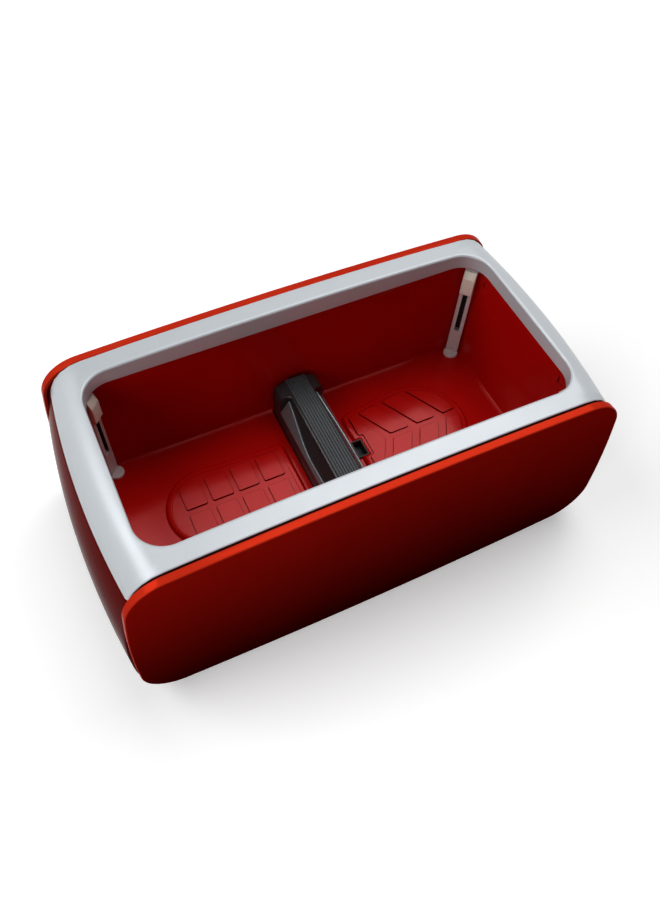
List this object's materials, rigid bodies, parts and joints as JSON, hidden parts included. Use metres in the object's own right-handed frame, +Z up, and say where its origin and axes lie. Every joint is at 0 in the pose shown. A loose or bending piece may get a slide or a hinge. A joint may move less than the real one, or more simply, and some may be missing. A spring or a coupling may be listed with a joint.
{
  "type": "overshoe dispenser",
  "caption": "Low red floor box with a silver top frame, an open foot well with raised footprints, a ribbed pedal bar and spring-loaded followers on corner rails that hold overshoes.",
  "frame": {"origin": "on the ground under the middle of the box", "axes": "+X along the box towards the toe print, -Y the front, +Z up"},
  "size_m": [0.494, 0.2566, 0.2],
  "materials": {
    "red_cover": "candy red gloss lacquer",
    "red_tray": "moulded gloss red",
    "silver_frame": "satin silver lacquer",
    "black_carcass": "moulded black",
    "black_pedal": "satin black, ribbed",
    "grey_inlay": "silver-grey lacquer",
    "rubber_foot": "matt",
    "steel": "bright zinc",
    "rail_grey": "moulded warm grey",
    "cream_follower": "moulded cream"
  },
  "bodies": {
    "root": {"base_plate": "black_carcass", "rubber_feet": "rubber_foot", "base_screws": "steel", "well_pillars": "black_carcass", "foot_tray": "red_tray", "pocket_cup": "black_carcass", "guide_rods": "steel", "pedal_springs": "steel", "shaft_brackets": "black_carcass", "rail_front_left": "rail_grey", "rail_front_right": "rail_grey", "rail_back_left": "rail_grey", "rail_back_right": "rail_grey", "rail_caps": "rail_grey", "rail_screws": "steel", "spring_front_left": "steel", "spring_front_right": "steel", "spring_back_left": "steel", "spring_back_right": "steel", "top_frame": "silver_frame", "frame_screws": "steel", "front_panel": "red_cover", "back_panel": "red_cover", "left_end_panel": "red_cover", "right_end_panel": "red_cover", "panel_screws": "steel"},
    "pedal": {"pedal_body": "black_pedal", "pedal_tread": "black_pedal", "pedal_inlay_left": "grey_inlay", "pedal_inlay_right": "grey_inlay"},
    "left_lever": {"left_lever_shaft": "steel", "left_treadle_arm": "black_carcass", "left_kicker_arms": "red_tray"},
    "right_lever": {"right_lever_shaft": "steel", "right_treadle_arm": "black_carcass", "right_kicker_arms": "red_tray"},
    "follower_front_left_body": {"follower_front_left": "cream_follower"},
    "follower_front_right_body": {"follower_front_right": "cream_follower"},
    "follower_back_left_body": {"follower_back_left": "cream_follower"},
    "follower_back_right_body": {"follower_back_right": "cream_follower"}
  },
  "joints": [
    {"name": "pedal_press", "type": "slide", "parent": "root", "child": "pedal", "axis": [0, 0, -1], "range_m": [0, 0.011], "stiffness_N_per_m": 600, "springref_m": -0.02, "deforming": ["pedal_springs"]},
    {"name": "left_lever_turn", "type": "hinge", "parent": "root", "child": "left_lever", "pos_m": [-0.208, 0, 0.04], "axis": [0, 1, 0], "range_deg": [0, 3.3]},
    {"name": "right_lever_turn", "type": "hinge", "parent": "root", "child": "right_lever", "pos_m": [0.208, 0, 0.04], "axis": [0, 1, 0], "range_deg": [-3.3, 0]},
    {"name": "follower_front_left_slide", "type": "slide", "parent": "root", "child": "follower_front_left_body", "axis": [0.0043, 0.0823, -0.9966], "range_m": [0, 0.042], "stiffness_N_per_m": 12, "springref_m": -0.03, "deforming": ["spring_front_left"]},
    {"name": "follower_front_right_slide", "type": "slide", "parent": "root", "child": "follower_front_right_body", "axis": [-0.0648, 0.0821, -0.9945], "range_m": [0, 0.042], "stiffness_N_per_m": 12, "springref_m": -0.03, "deforming": ["spring_front_right"]},
    {"name": "follower_back_left_slide", "type": "slide", "parent": "root", "child": "follower_back_left_body", "axis": [0.0043, -0.0823, -0.9966], "range_m": [0, 0.042], "stiffness_N_per_m": 12, "springref_m": -0.03, "deforming": ["spring_back_left"]},
    {"name": "follower_back_right_slide", "type": "slide", "parent": "root", "child": "follower_back_right_body", "axis": [-0.0648, -0.0821, -0.9945], "range_m": [0, 0.042], "stiffness_N_per_m": 12, "springref_m": -0.03, "deforming": ["spring_back_right"]}
  ],
  "couplings": [
    {"joint": "left_lever_turn", "follows": "pedal_press", "rad_per_m": 5.0505},
    {"joint": "right_lever_turn", "follows": "pedal_press", "rad_per_m": -5.0505}
  ]
}
